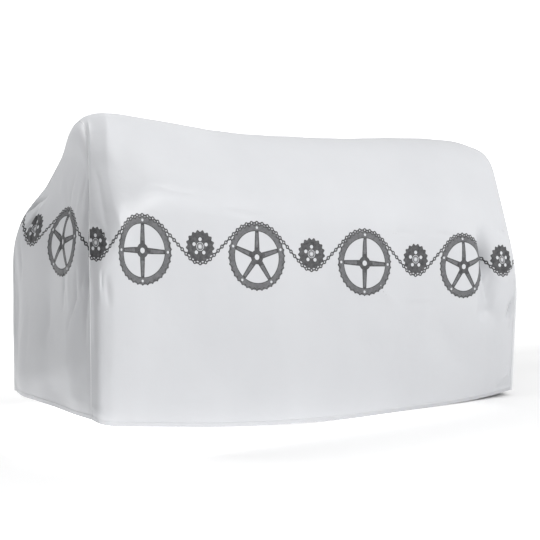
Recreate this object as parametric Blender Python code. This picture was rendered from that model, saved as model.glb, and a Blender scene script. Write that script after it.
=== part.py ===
"""Bicycle cover, hanging as it does over a bicycle.

Three welded pieces of thin film: one sheet that goes up the near side, over the top and down
the far side, and a panel at each end. Each seam is a narrow fin, both edges turned outwards
and pressed together. The hem is a turned band along the lower edge of each piece.

Metres. +X runs from the handlebar end to the rear end, +Y across, +Z up. The origin is in the
middle of the cover's box, level with the lowest point of its hem.
"""
from collections import namedtuple
from math import pi

import bmesh
import bpy
import numpy as np

# --- driving dimensions ---------------------------------------------------------------------
SHEET = 0.0015          # thickness of the film as built
HEM_BAND = 0.014        # height of the turned hem
HEM_STEP = 0.0015       # slope from the hem's face back to the sheet
HEM_EXTRA = 0.0010      # how far the hem's face stands out of the sheet
FIN = 0.010             # width of a seam's fin on the walls
FIN_AT_CROWN = 0.004    # and where the seam crosses the crown, which pulls it flat
FIN_GAP = 0.0003        # between the two edges of a seam
PANEL_BULGE = 0.012     # how far the middle of an end panel stands out

SHOULDER_ROUND = 0.120  # cloth taken up by the rounded shoulder, on each side of its line
CROWN_ROUND = 0.100     # the same at the crown, on the roof side

# how an end panel's grid fills its arch. Each is a power of the height, 0 at the hem and 1 at
# the top: the higher it is, the closer to the top its effect stays.
EVEN_COLUMNS_POWER = 2
ARCH_POWER = 8
TOP_EDGE_POWER = 4
BULGE_POWER = 4
SEAM_HOLD = 6           # how soon, in from a seam, a fold reaches its full depth

SILVER = (0.72, 0.73, 0.75)
SILVER_ENDS = (0.70, 0.71, 0.73)
FILM_ROUGHNESS = 0.45
CREASE_ANGLE = pi / 6   # an edge sharper than this is shaded as an edge

# strips of cloth from hem to ridge, on one side
HEM_ROWS = 2
WALL_ROWS = 8
SHOULDER_ROWS = 5
ROOF_ROWS = 3
CROWN_ROWS = 5

# --- how the cover hangs: one row for each section, from the handlebar end to the rear ------
# columns is the number of strips up to the next section. The x columns give the section's place
# at its hem, shoulder and ridge, the half columns half its width, and the z columns its heights.
Section = namedtuple(
    "Section",
    "name columns x_hem x_shoulder x_ridge half_hem half_shoulder half_crown "
    "z_hem z_hem_far z_shoulder z_shoulder_far z_ridge")
SECTIONS = [
    Section("front_seam", 2, -0.926, -0.926, -0.802, 0.285, 0.288, 0.048, 0.107, 0.117, 0.670, 0.700, 1.127),
    Section("front_turn", 2, -0.916, -0.907, -0.784, 0.314, 0.317, 0.052, 0.098, 0.114, 0.710, 0.705, 1.141),
    Section("front_round", 3, -0.884, -0.863, -0.762, 0.326, 0.328, 0.057, 0.088, 0.110, 0.770, 0.720, 1.149),
    Section("handlebar", 3, -0.796, -0.776, -0.726, 0.328, 0.330, 0.063, 0.075, 0.102, 0.865, 0.800, 1.153),
    Section("head", 4, -0.656, -0.656, -0.656, 0.330, 0.330, 0.070, 0.058, 0.090, 0.915, 0.870, 1.148),
    Section("top_tube", 5, -0.476, -0.476, -0.476, 0.333, 0.332, 0.070, 0.037, 0.075, 0.890, 0.890, 1.116),
    Section("middle", 5, -0.216, -0.216, -0.216, 0.338, 0.334, 0.070, 0.016, 0.060, 0.855, 0.855, 1.067),
    Section("sag", 5, 0.084, 0.084, 0.084, 0.340, 0.334, 0.070, 0.002, 0.048, 0.815, 0.815, 1.033),
    Section("saddle", 5, 0.384, 0.384, 0.384, 0.336, 0.332, 0.080, 0.001, 0.040, 0.775, 0.775, 1.011),
    Section("carrier", 5, 0.624, 0.624, 0.624, 0.330, 0.332, 0.095, 0.002, 0.034, 0.710, 0.710, 1.003),
    Section("trough", 4, 0.784, 0.784, 0.784, 0.322, 0.332, 0.120, 0.008, 0.032, 0.620, 0.620, 0.990),
    Section("rear_round", 3, 0.884, 0.884, 0.884, 0.314, 0.337, 0.140, 0.016, 0.032, 0.540, 0.540, 0.974),
    Section("rear_seam", 0, 0.929, 0.929, 0.926, 0.306, 0.333, 0.148, 0.020, 0.032, 0.515, 0.515, 0.959),
]

# --- main folds: soft ridges (+) and troughs (-) along a line in the cloth ------------------
# The line runs from (start, z_start) to (end, z_end), where start and end are x on the near
# and far sides and y on the end panels. half_width is the fold's reach across, depth its height.
Fold = namedtuple("Fold", "name face start z_start end z_end half_width depth")
FOLDS = [
    Fold("rear_trough", "near", 0.779, 0.640, 0.786, 0.350, 0.030, -0.020),
    Fold("rear_trough_far", "far", 0.784, 0.620, 0.774, 0.380, 0.040, -0.012),
    Fold("far_hip", "far", -0.881, 0.910, -0.841, 0.990, 0.085, -0.024),
    Fold("seam_pleat", "front", -0.155, 0.920, -0.262, 0.600, 0.020, -0.010),
    Fold("pleat_run_out", "front", -0.200, 0.700, -0.190, 0.180, 0.060, 0.010),
    Fold("front_hollow", "front", 0.010, 0.800, -0.020, 0.200, 0.080, -0.012),
    Fold("far_crease", "front", 0.250, 0.700, 0.190, 0.120, 0.060, 0.012),
    Fold("rear_left_fold", "rear", -0.100, 0.800, -0.150, 0.100, 0.060, 0.008),
    Fold("rear_right_fold", "rear", 0.120, 0.760, 0.130, 0.100, 0.060, -0.008),
]

NEAR, FAR = -1, 1


def through_rows(knots, rows, at):
    """Smooth curve through the rows of a table, read at one place along it."""
    k = int(np.clip(np.searchsorted(knots, at, side="right") - 1, 0, len(knots) - 2))
    slopes = np.diff(rows, axis=0) / np.diff(knots)[:, None]
    tangents = np.empty_like(rows)
    tangents[0], tangents[-1] = slopes[0], slopes[-1]
    spans = np.diff(knots)[:, None]
    tangents[1:-1] = (slopes[1:] * spans[:-1] + slopes[:-1] * spans[1:]) / (spans[1:] + spans[:-1])
    span = knots[k + 1] - knots[k]
    f = (at - knots[k]) / span
    return ((2 * f**3 - 3 * f**2 + 1) * rows[k] + (f**3 - 2 * f**2 + f) * span * tangents[k]
            + (3 * f**2 - 2 * f**3) * rows[k + 1] + (f**3 - f**2) * span * tangents[k + 1])


def all_sections():
    """The table's sections with the strips between them filled in."""
    rows = np.array([section[2:] for section in SECTIONS])
    shoulders = np.array([(s.x_shoulder, s.half_shoulder, s.z_shoulder) for s in SECTIONS])
    knots = np.concatenate([[0], np.cumsum(np.linalg.norm(np.diff(shoulders, axis=0), axis=1))])
    filled = []
    for k, section in enumerate(SECTIONS[:-1]):
        for step in range(section.columns):
            at = knots[k] + (knots[k + 1] - knots[k]) * step / section.columns
            filled.append(Section(section.name, 0, *through_rows(knots, rows, at)))
    return filled + [SECTIONS[-1]]


def bend(start, corner, end, count):
    """Points of a rounded corner after its start, its end included."""
    f = (np.arange(count) + 1)[:, None] / count
    return (1 - f)**2 * start + 2 * f * (1 - f) * corner + f**2 * end


def straight(start, end, count):
    """Evenly spaced points after the start, the end included."""
    f = (np.arange(count) + 1)[:, None] / count
    return start + (end - start) * f


def towards(point, other, distance):
    return point + (other - point) * distance / np.linalg.norm(other - point)


def arch_side(section, side):
    """One side of a section, as points from hem to ridge."""
    z_hem, z_shoulder = section.z_hem, section.z_shoulder
    if side == FAR:
        z_hem, z_shoulder = section.z_hem_far, section.z_shoulder_far
    hem = np.array([section.x_hem, side * section.half_hem, z_hem])
    shoulder = np.array([section.x_shoulder, side * section.half_shoulder, z_shoulder])
    crown = np.array([section.x_ridge, side * section.half_crown, section.z_ridge])
    ridge = np.array([section.x_ridge, 0.0, section.z_ridge])
    hem_top = towards(hem, shoulder, HEM_BAND)
    sheet_start = towards(hem, shoulder, HEM_BAND + HEM_STEP)
    wall_end = towards(shoulder, hem, SHOULDER_ROUND)
    roof_start = towards(shoulder, crown, SHOULDER_ROUND)
    roof_end = towards(crown, shoulder, CROWN_ROUND)
    return np.vstack([
        hem,
        hem_top,
        sheet_start,
        straight(sheet_start, wall_end, WALL_ROWS),
        bend(wall_end, shoulder, roof_start, SHOULDER_ROWS),
        straight(roof_start, roof_end, ROOF_ROWS),
        bend(roof_end, crown, ridge, CROWN_ROWS),
    ])


def normals_of(grid):
    """Outward unit normals of a grid of points."""
    along, up = np.gradient(grid, axis=0), np.gradient(grid, axis=1)
    normals = np.cross(along, up)
    return normals / np.linalg.norm(normals, axis=2, keepdims=True)


def fold_height(points, face):
    """How far the folds of one face of the cover lift the cloth at each point."""
    axis = 1 if face in ("front", "rear") else 0
    lift = np.zeros(points.shape[:-1])
    for fold in FOLDS:
        if fold.face != face:
            continue
        start, end = np.array([fold.start, fold.z_start]), np.array([fold.end, fold.z_end])
        line = end - start
        place = points[..., (axis, 2)] - start
        along = np.clip(place @ line / (line @ line), 0, 1)
        away = np.linalg.norm(place - along[..., None] * line, axis=-1)
        lift += fold.depth * np.exp(-(away / fold.half_width)**2)
    return lift


def body_grid():
    """Outer face of the long sheet: columns along the cover, rows from near hem to far hem."""
    columns = []
    for section in all_sections():
        near, far = arch_side(section, NEAR), arch_side(section, FAR)
        columns.append(np.vstack([near, far[-2::-1]]))
    grid = np.array(columns)
    middle = grid.shape[1] // 2
    lift = np.zeros(grid.shape[:2])
    lift[:, :middle] = fold_height(grid[:, :middle], "near")
    lift[:, middle + 1:] = fold_height(grid[:, middle + 1:], "far")
    return grid + normals_of(grid) * lift[..., None]


def panel_grid(edge, side_rows, face, bulge):
    """Outer face of an end panel, inside the arch that the long sheet's edge makes.

    edge is that arch from one hem to the other. Its first and last side_rows strips are the
    panel's two sides, and the rest is its top edge. Low down, the columns lie closer near
    the seams.
    """
    left, right = edge[:side_rows + 1], edge[::-1][:side_rows + 1]
    top = edge[side_rows:len(edge) - side_rows]
    upward = np.linspace(0, 1, side_rows + 1)
    evenly = np.linspace(0, 1, len(top))[:, None]
    near_seams = (1 - np.cos(pi * evenly)) / 2
    across = near_seams + (evenly - near_seams) * upward**EVEN_COLUMNS_POWER
    grid = left + (right - left) * across[..., None]
    arch = top - grid[:, -1]
    grid += arch[:, None] * (upward**ARCH_POWER)[:, None]
    # the slope of the panel follows the seam beside it
    half = len(edge) // 2
    x_left = np.interp(grid[..., 2], edge[:half + 1, 2], edge[:half + 1, 0])
    x_right = np.interp(grid[..., 2], edge[::-1][:half + 1, 2], edge[::-1][:half + 1, 0])
    grid[..., 0] = x_left + (x_right - x_left) * across
    grid[..., 0] += (top[:, 0] - grid[:, -1, 0])[:, None] * upward**TOP_EDGE_POWER
    inside = 4 * across * (1 - across) * (1 - upward**BULGE_POWER)
    held_at_seam = np.minimum(1, SEAM_HOLD * inside)
    grid[..., 0] += bulge * inside + np.sign(bulge) * fold_height(grid, face) * held_at_seam
    return grid


def unit(vectors):
    return vectors / np.linalg.norm(vectors, axis=-1, keepdims=True)


def across_seam(inward, tangent):
    """Unit vectors from the seam into a piece, square to the seam."""
    inward = inward - np.sum(inward * tangent, axis=-1, keepdims=True) * tangent
    return unit(inward)


class Piece:
    """One sheet of film: a grid with a thickness, and fins along some of its edge."""

    def __init__(self, grid):
        self.grid = grid
        self.normals = normals_of(grid)
        self.outer = grid.copy()
        self.outer[1:-1, :2] += HEM_EXTRA * self.normals[1:-1, :2]
        self.inner = grid - SHEET * self.normals
        self.tips = []          # chains of (grid place, outer tip, inner tip)

    def add_fin(self, places, inward_places, fin_direction, fin_width):
        """Turn the edge at places outwards, along fin_direction, half a gap off the seam."""
        seam = np.array([self.grid[p] for p in places])
        tangent = unit(np.gradient(seam, axis=0))
        inward = across_seam(np.array([self.grid[p] for p in inward_places]) - seam, tangent)
        normal = unit(np.cross(tangent, inward))
        outward = np.array([self.normals[p] for p in inward_places])
        normal *= np.sign(np.sum(normal * outward, axis=-1, keepdims=True))
        fin = across_seam(fin_direction, tangent)
        side = unit(np.cross(tangent, fin))
        side *= np.sign(np.sum(side * inward, axis=-1, keepdims=True))
        slant = np.sum(inward * side, axis=-1)
        lean = np.sum(normal * side, axis=-1)
        inner_run = (FIN_GAP / 2 + SHEET * lean) / slant
        outer_run = (FIN_GAP / 2 + SHEET) / slant
        chain = []
        for k, place in enumerate(places):
            self.inner[place] = seam[k] - SHEET * normal[k] + inner_run[k] * inward[k]
            self.outer[place] = seam[k] + outer_run[k] * inward[k]
            tip = seam[k] + fin_width[k] * fin[k]
            chain.append((place, tip + (FIN_GAP / 2 + SHEET) * side[k], tip + FIN_GAP / 2 * side[k]))
        self.tips.append(chain)

    def to_object(self, name, material):
        """Make the closed solid."""
        mesh = bmesh.new()
        columns, rows = self.grid.shape[:2]
        outer = [[mesh.verts.new(self.outer[i, j]) for j in range(rows)] for i in range(columns)]
        inner = [[mesh.verts.new(self.inner[i, j]) for j in range(rows)] for i in range(columns)]

        def quad(a, b, c, d):
            mesh.faces.new((a, b, c))
            mesh.faces.new((a, c, d))

        for i in range(columns - 1):
            for j in range(rows - 1):
                # each half splits its strips so that a corner at the top is never cut off
                cell = [(i, j), (i + 1, j), (i + 1, j + 1), (i, j + 1)]
                if 2 * i < columns - 1:
                    cell = cell[1:] + cell[:1]
                quad(*(outer[m][n] for m, n in cell))
                quad(*(inner[m][n] for m, n in (cell[0], cell[3], cell[2], cell[1])))
        finned = set()
        for chain in self.tips:
            tips = [(mesh.verts.new(out), mesh.verts.new(back)) for _, out, back in chain]
            for k in range(len(chain) - 1):
                (i, j), (m, n) = chain[k][0], chain[k + 1][0]
                finned.add(frozenset([(i, j), (m, n)]))
                quad(outer[i][j], outer[m][n], tips[k + 1][0], tips[k][0])
                quad(tips[k][0], tips[k + 1][0], tips[k + 1][1], tips[k][1])
                quad(inner[i][j], tips[k][1], tips[k + 1][1], inner[m][n])
            for k in (0, -1):
                i, j = chain[k][0]
                quad(outer[i][j], tips[k][0], tips[k][1], inner[i][j])
        rim = ([(i, 0) for i in range(columns)] + [(columns - 1, j) for j in range(rows)]
               + [(i, rows - 1) for i in reversed(range(columns))] + [(0, j) for j in reversed(range(rows))])
        for (i, j), (m, n) in zip(rim, rim[1:]):
            if (i, j) != (m, n) and frozenset([(i, j), (m, n)]) not in finned:
                quad(inner[i][j], inner[m][n], outer[m][n], outer[i][j])
        bmesh.ops.recalc_face_normals(mesh, faces=mesh.faces)
        data = bpy.data.meshes.new(name)
        mesh.to_mesh(data)
        mesh.free()
        data.shade_smooth()
        data.set_sharp_from_angle(angle=CREASE_ANGLE)
        data.materials.append(material)
        solid = bpy.data.objects.new(name, data)
        bpy.context.scene.collection.objects.link(solid)
        return solid


def film(name, colour):
    material = bpy.data.materials.new(name)
    material.use_nodes = True
    shader = material.node_tree.nodes["Principled BSDF"]
    shader.inputs["Base Color"].default_value = (*colour, 1.0)
    shader.inputs["Roughness"].default_value = FILM_ROUGHNESS
    shader.inputs["Metallic"].default_value = 0.0
    return material


def main():
    for thing in list(bpy.data.objects):
        bpy.data.objects.remove(thing, do_unlink=True)
    silver = film("silver_film", SILVER)
    ends = film("silver_film_ends", SILVER_ENDS)

    body = Piece(body_grid())
    last, top_row = body.grid.shape[0] - 1, body.grid.shape[1] - 1
    side_rows = HEM_ROWS + WALL_ROWS + SHOULDER_ROWS + ROOF_ROWS
    # a panel's columns run the same way round the cover as the long sheet's, seen from outside
    front = Piece(panel_grid(body.grid[0][::-1], side_rows, "front", -PANEL_BULGE))
    rear = Piece(panel_grid(body.grid[last], side_rows, "rear", PANEL_BULGE))
    from_hem = np.minimum(np.arange(top_row + 1), np.arange(top_row + 1)[::-1])
    roof_start = side_rows - ROOF_ROWS
    on_roof = np.clip((from_hem - roof_start) / (top_row / 2 - roof_start), 0, 1)
    fin_width = FIN + (FIN_AT_CROWN - FIN) * on_roof

    for panel, edge_column, next_column in ((front, 0, 1), (rear, last, last - 1)):
        columns = panel.grid.shape[0] - 1
        up = range(side_rows)
        places = ([(0, j) for j in up] + [(i, side_rows) for i in range(columns + 1)]
                  + [(columns, j) for j in reversed(up)])
        inward = ([(1, j) for j in up]
                  + [(min(max(i, 1), columns - 1), side_rows - 1) for i in range(columns + 1)]
                  + [(columns - 1, j) for j in reversed(up)])
        if panel is front:
            places, inward = places[::-1], inward[::-1]
        fin = unit(body.normals[edge_column] + np.array([panel.normals[p] for p in inward]))
        panel.add_fin(places, inward, fin, fin_width)
        edge_rows = range(top_row + 1)
        body.add_fin([(edge_column, j) for j in edge_rows], [(next_column, j) for j in edge_rows],
                     fin, fin_width)

    body.to_object("body_sheet", silver)
    front.to_object("front_panel", ends)
    rear.to_object("rear_panel", ends)


main()
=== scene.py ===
"""Bicycle cover of thin silver film: its folds, hem, welded seams, finish and printed frieze.

The cover hangs as it does over a bicycle. It is three pieces of film: a long sheet that goes up
the near side, over the top and down the far side, and a panel at each end. The file is laid out
as an add-on and is run as a script. Metres, +X from the handlebar end to the rear, +Z up.
"""
from collections import namedtuple
from functools import lru_cache
from math import acos, atan2, cos, hypot, pi, radians, sin, sqrt

import bmesh
import bpy
import numpy as np
from bpy.props import FloatProperty, FloatVectorProperty, IntProperty, PointerProperty
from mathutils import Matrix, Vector, noise


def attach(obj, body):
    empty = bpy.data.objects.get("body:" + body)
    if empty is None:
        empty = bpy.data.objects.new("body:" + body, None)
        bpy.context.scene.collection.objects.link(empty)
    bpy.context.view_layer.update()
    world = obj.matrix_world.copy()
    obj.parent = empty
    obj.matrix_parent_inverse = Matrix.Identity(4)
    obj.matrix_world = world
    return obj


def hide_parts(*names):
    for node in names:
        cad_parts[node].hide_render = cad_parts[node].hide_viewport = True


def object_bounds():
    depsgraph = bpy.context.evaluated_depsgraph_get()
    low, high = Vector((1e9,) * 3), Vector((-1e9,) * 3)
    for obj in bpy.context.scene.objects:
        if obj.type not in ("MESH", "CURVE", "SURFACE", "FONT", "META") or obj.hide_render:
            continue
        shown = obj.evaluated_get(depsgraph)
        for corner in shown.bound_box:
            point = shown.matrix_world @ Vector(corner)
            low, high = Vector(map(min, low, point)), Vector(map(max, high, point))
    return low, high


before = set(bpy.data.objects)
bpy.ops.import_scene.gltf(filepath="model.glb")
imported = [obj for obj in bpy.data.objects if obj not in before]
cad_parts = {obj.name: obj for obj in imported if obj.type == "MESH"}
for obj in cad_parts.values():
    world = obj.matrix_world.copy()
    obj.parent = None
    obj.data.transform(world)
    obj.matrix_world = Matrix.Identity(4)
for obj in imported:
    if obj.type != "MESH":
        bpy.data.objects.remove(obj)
CAD_LOW, CAD_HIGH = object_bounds()

bl_info = {
    "name": "Bicycle cover",
    "version": (1, 0, 0),
    "blender": (4, 5, 0),
    "location": "3D View > Sidebar > Bicycle cover",
    "description": "A fitted bicycle cover of thin silver film with a printed frieze",
    "category": "Object",
}

BODY = "root"

# --- how the cover hangs: one row for each section, from the handlebar end to the rear ------
# step is the spacing of the fine mesh's columns up to the next section. The x columns give the
# section's place at its hem, shoulder and ridge, the half columns half its width, and the z
# columns its heights, z_frieze the foot of the printed frieze on the near side.
Section = namedtuple(
    "Section",
    "name step x_hem x_shoulder x_ridge half_hem half_shoulder half_crown "
    "z_hem z_hem_far z_shoulder z_shoulder_far z_ridge z_frieze")
FINEST, FINE, PLAIN = 0.0055, 0.0075, 0.0125
SECTIONS = [
    Section("front_seam", FINE, -0.926, -0.926, -0.802, 0.285, 0.288, 0.048,
            0.107, 0.117, 0.67, 0.7, 1.127, 0.57),
    Section("front_turn", FINE, -0.916, -0.907, -0.784, 0.314, 0.317, 0.052,
            0.098, 0.114, 0.71, 0.705, 1.141, 0.57),
    Section("front_round", FINE, -0.884, -0.863, -0.762, 0.326, 0.328, 0.057,
            0.088, 0.11, 0.77, 0.72, 1.149, 0.569),
    Section("handlebar", FINE, -0.796, -0.776, -0.726, 0.328, 0.33, 0.063,
            0.075, 0.102, 0.865, 0.8, 1.153, 0.562),
    Section("head", PLAIN, -0.656, -0.656, -0.656, 0.33, 0.33, 0.07,
            0.058, 0.09, 0.915, 0.87, 1.148, 0.545),
    Section("top_tube", PLAIN, -0.476, -0.476, -0.476, 0.333, 0.332, 0.07,
            0.037, 0.075, 0.89, 0.89, 1.116, 0.527),
    Section("middle", PLAIN, -0.216, -0.216, -0.216, 0.338, 0.334, 0.07,
            0.016, 0.06, 0.855, 0.855, 1.067, 0.492),
    Section("sag", PLAIN, 0.084, 0.084, 0.084, 0.34, 0.334, 0.07,
            0.002, 0.048, 0.815, 0.815, 1.033, 0.456),
    Section("saddle", PLAIN, 0.384, 0.384, 0.384, 0.336, 0.332, 0.08,
            0.001, 0.04, 0.775, 0.775, 1.011, 0.421),
    Section("carrier", PLAIN, 0.624, 0.624, 0.624, 0.33, 0.332, 0.095,
            0.002, 0.034, 0.71, 0.71, 1.003, 0.397),
    Section("trough", FINEST, 0.784, 0.784, 0.784, 0.322, 0.332, 0.12,
            0.008, 0.032, 0.62, 0.62, 0.99, 0.385),
    Section("rear_round", FINEST, 0.884, 0.884, 0.884, 0.314, 0.337, 0.14,
            0.016, 0.032, 0.54, 0.54, 0.974, 0.38),
    Section("rear_seam", FINE, 0.929, 0.929, 0.926, 0.306, 0.333, 0.148,
            0.02, 0.032, 0.515, 0.515, 0.959, 0.378),
]
SHOULDER_ROUND = 0.120      # cloth taken up by the rounded shoulder, on each side of its line
CROWN_ROUND = 0.100         # the same at the crown, on the roof side
PANEL_BULGE = 0.012         # how far the middle of an end panel stands out
TOP_ROUND = 0.140           # cloth below a panel's top seam over which the panel rounds over
TOP_ROUND_SLOPE = 0.58      # and how steeply it leaves the seam
RIDGE_FADE = 0.060          # cloth beside the ridge over which the folds of a side run out
SEAM_WELD = 0.018           # cloth beside a seam over which the long sheet's creases run out
LEAST_SLANT = 0.30          # keeps a fin's foot from running out where the cloth lies along it

# strips of cloth in each stretch of a section, from hem to ridge, and of an end panel
Rows = namedtuple("Rows", "hem wall shoulder roof crown")
SHEET_ROWS = Rows(2, 56, 30, 12, 18)
PANEL_ROWS = Rows(2, 88, 40, 44, 52)
PANEL_SIDE_ROWS = sum(PANEL_ROWS) - PANEL_ROWS.crown

# how an end panel's grid fills its arch, as powers of the height: the higher, the closer to the
# top its effect stays
EVEN_COLUMNS_POWER = 2
ARCH_POWER = 8
TOP_EDGE_POWER = 4
BULGE_POWER = 4
SEAM_HOLD = 10              # how soon, in from a side seam, a panel's fold reaches its full depth
TOP_HOLD = 4                # and down from the top seam

# --- folds: ridges (+) and troughs (-) along a line in the cloth ----------------------------
# Lines are drawn on the face as seen from outside the near side or the handlebar end, with
# across (x on the near and far sides, y on the end panels) and z. depth is a fold's height and
# reach how far it spreads. A main fold keeps its depth to both ends.
Fold = namedtuple("Fold", "name face start z_start end z_end reach depth")
FOLDS = [
    Fold("rear_trough", "near", 0.779, 0.64, 0.786, 0.35, 0.03, -0.02),
    Fold("rear_trough_far", "far", 0.784, 0.62, 0.774, 0.38, 0.04, -0.012),
    Fold("far_hip", "far", -0.881, 0.91, -0.841, 0.99, 0.085, -0.024),
    Fold("seam_pleat", "front", -0.155, 0.92, -0.262, 0.6, 0.02, -0.01),
    Fold("pleat_run_out", "front", -0.2, 0.7, -0.19, 0.18, 0.06, 0.01),
    Fold("front_hollow", "front", 0.01, 0.8, -0.02, 0.2, 0.08, -0.012),
    Fold("far_crease", "front", 0.25, 0.7, 0.19, 0.12, 0.06, 0.012),
    Fold("rear_left_fold", "rear", -0.1, 0.8, -0.15, 0.1, 0.06, 0.008),
    Fold("rear_right_fold", "rear", 0.12, 0.76, 0.13, 0.1, 0.06, -0.008),
]
# A crease follows its line's points and runs out at both ends. Its crest is soft at sharp 0 and
# a crisp edge at sharp 1. reach is how far it spreads to the left of the line's way, and to the
# right as well unless right is given.
Crease = namedtuple("Crease", "reach depth sharp line right", defaults=(None,))
FRONT_CREASES = [
    # the end panel's hollow ends at a rounded edge: a long slope inside, a short one outside
    Crease(0.08, 0.027, 0.0, [
        (0.34, 0.258), (0.235, 0.222), (0.14, 0.212), (0.06, 0.226), (-0.015, 0.25), (-0.095, 0.28),
        (-0.19, 0.3), (-0.31, 0.335)], 0.15),
    Crease(0.022, -0.01, 0.3, [
        (0.262, 0.68), (0.253, 0.45), (0.246, 0.33), (0.226, 0.25), (0.235, 0.15)], 0.08),
    Crease(0.02, -0.004, 0.3, [(0.015, 0.54), (0.005, 0.4), (0.03, 0.32)]),
    # a fan of creases from the top of the pleat, on the panel
    Crease(0.026, -0.018, 0.4, [
        (-0.12, 0.985), (-0.168, 0.88), (-0.218, 0.78), (-0.253, 0.7), (-0.273, 0.6),
        (-0.275, 0.46)], 0.006),
    Crease(0.008, -0.006, 0.5, [(-0.12, 0.995), (-0.127, 0.913), (-0.13, 0.872), (-0.16, 0.82)]),
    Crease(0.008, 0.005, 0.3, [(-0.098, 0.91), (-0.12, 0.86), (-0.134, 0.8)]),
    Crease(0.011, -0.006, 0.4, [(-0.05, 0.96), (-0.044, 0.878), (-0.062, 0.82), (-0.098, 0.77)]),
    Crease(0.007, -0.004, 0.5, [(0.012, 0.91), (-0.045, 0.818), (-0.112, 0.76)]),
    Crease(0.018, 0.004, 0.0, [(0.058, 0.95), (0.018, 0.86)]),
    Crease(0.01, -0.005, 0.4, [(0.014, 0.78), (-0.06, 0.715), (-0.095, 0.64)]),
    # puckers at the panel's far shoulder
    Crease(0.009, -0.014, 0.5, [(0.12, 0.855), (0.19, 0.82), (0.25, 0.775)]),
    Crease(0.01, 0.006, 0.3, [(0.122, 0.836), (0.152, 0.789), (0.174, 0.745)]),
    Crease(0.009, -0.014, 0.5, [(0.148, 0.812), (0.172, 0.773), (0.215, 0.71)]),
    Crease(0.008, -0.005, 0.4, [(0.145, 0.785), (0.15, 0.7)]),
    Crease(0.01, 0.005, 0.2, [(0.168, 0.775), (0.156, 0.67)]),
    Crease(0.009, -0.005, 0.5, [(0.232, 0.7), (0.215, 0.6), (0.225, 0.52)]),
    # drawn in below the frieze on the panel
    Crease(0.007, -0.005, 0.5, [(-0.11, 0.64), (-0.115, 0.56), (-0.11, 0.465)]),
    Crease(0.014, 0.004, 0.2, [(-0.155, 0.63), (-0.166, 0.48)]),
    Crease(0.009, -0.007, 0.5, [(-0.208, 0.65), (-0.213, 0.53), (-0.17, 0.44), (-0.165, 0.4)]),
    Crease(0.007, -0.004, 0.4, [(-0.236, 0.65), (-0.24, 0.54)]),
    Crease(0.009, -0.005, 0.4, [(-0.272, 0.64), (-0.262, 0.52), (-0.266, 0.33)], 0.012),
]
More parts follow.
